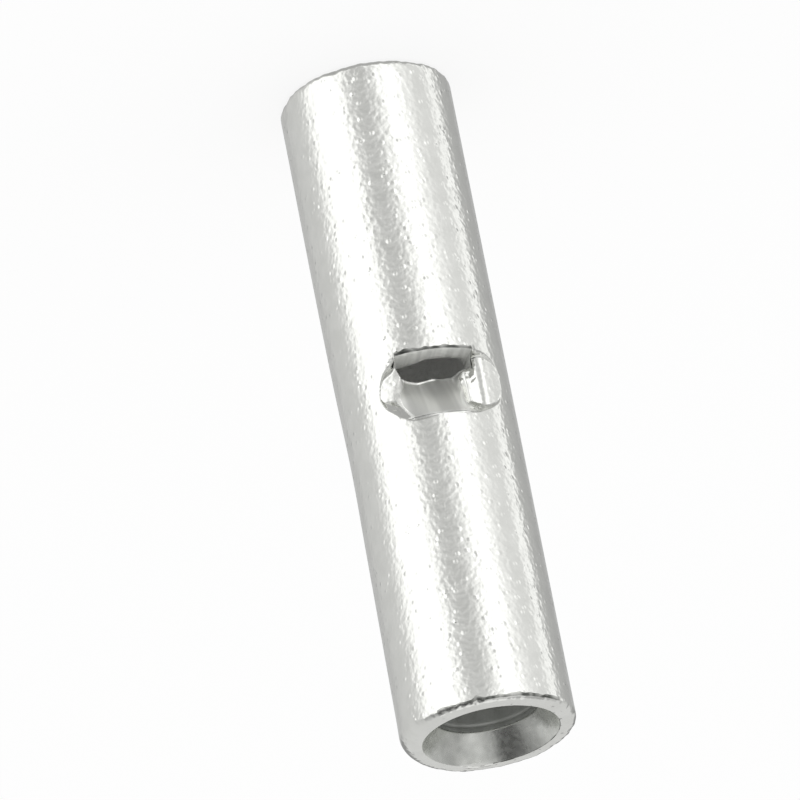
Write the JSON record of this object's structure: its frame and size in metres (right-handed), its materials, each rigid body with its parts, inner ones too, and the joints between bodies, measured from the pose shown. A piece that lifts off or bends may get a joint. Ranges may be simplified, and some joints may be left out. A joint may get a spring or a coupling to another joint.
{
  "type": "butt splice connector",
  "caption": "Bare tinned copper sleeve with countersunk open ends and a pressed-in wire stop at mid-length, crimped to join stripped wires end to end.",
  "frame": {"origin": "centre of the lower end face, on the surface that the sleeve stands on", "axes": "+Z along the sleeve, -Y out of the inspection window, +X across it"},
  "size_m": [0.0038, 0.0038, 0.016],
  "materials": {
    "tinned_copper": "bright electro-tin plating over copper, fine grained and softly reflective"
  },
  "bodies": {
    "root": {"sleeve": "tinned_copper"}
  },
  "joints": []
}
